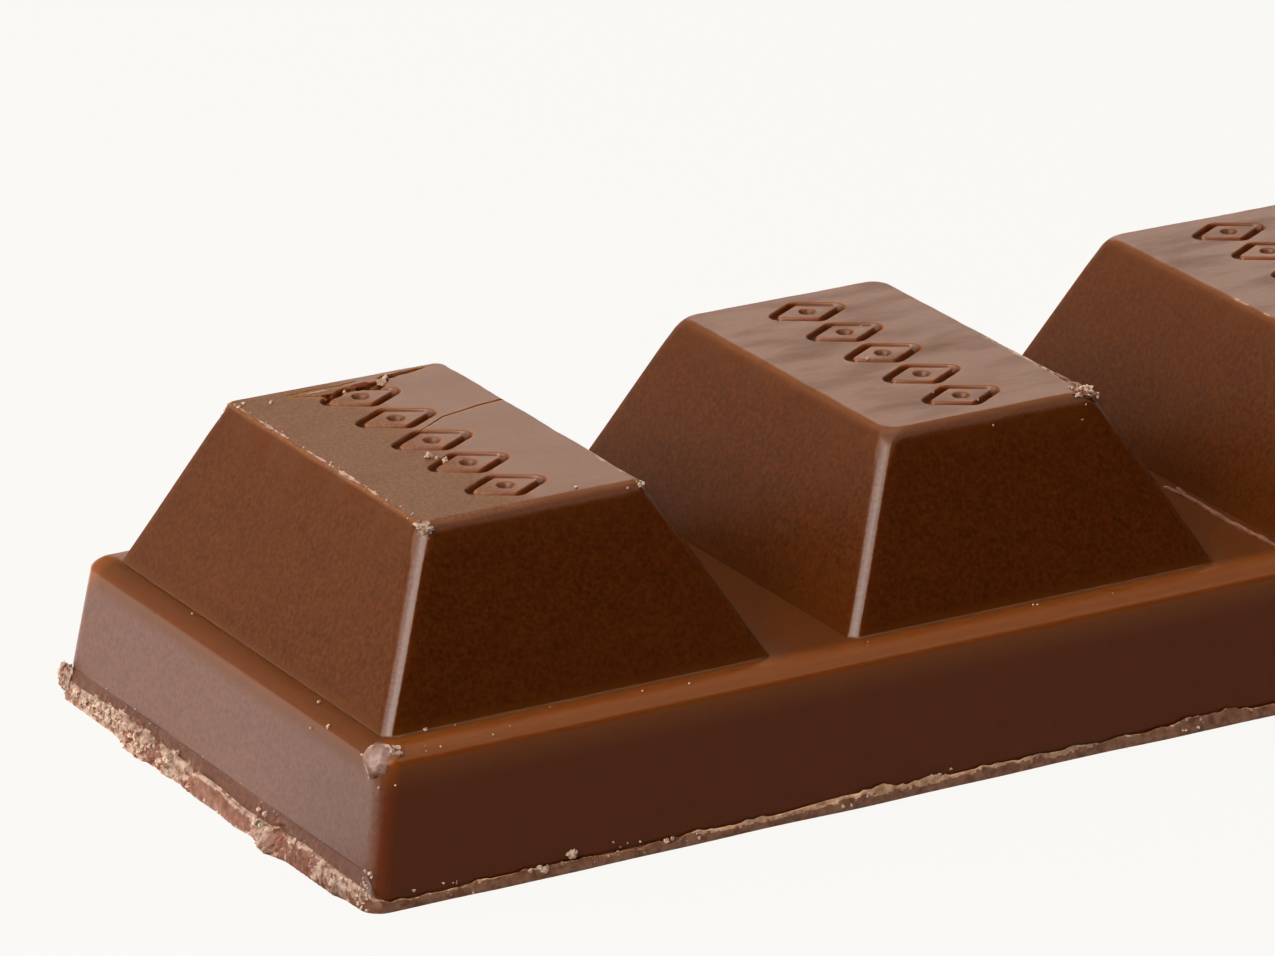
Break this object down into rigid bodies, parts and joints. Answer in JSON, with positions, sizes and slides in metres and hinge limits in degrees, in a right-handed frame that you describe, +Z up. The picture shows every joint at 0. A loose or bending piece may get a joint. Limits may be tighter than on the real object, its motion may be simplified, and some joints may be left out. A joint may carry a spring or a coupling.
{
  "type": "chocolate bar",
  "caption": "Chunky milk chocolate bar: a drafted slab with a row of tall tapered chunks, a pressed lozenge row on each crown and a ragged lip of flash round the foot.",
  "frame": {"origin": "middle of the flat underside, at the centre of the overall box", "axes": "+X along the row of chunks, towards the end away from the worn chunk; +Z up through the crowns; +Y across the bar"},
  "size_m": [0.1516, 0.0318, 0.0159],
  "materials": {
    "milk_chocolate": "satin milk chocolate, glossier on the moulded faces, dull and pale where it is scuffed or broken"
  },
  "bodies": {
    "root": {"chocolate_bar": "milk_chocolate"}
  },
  "joints": []
}
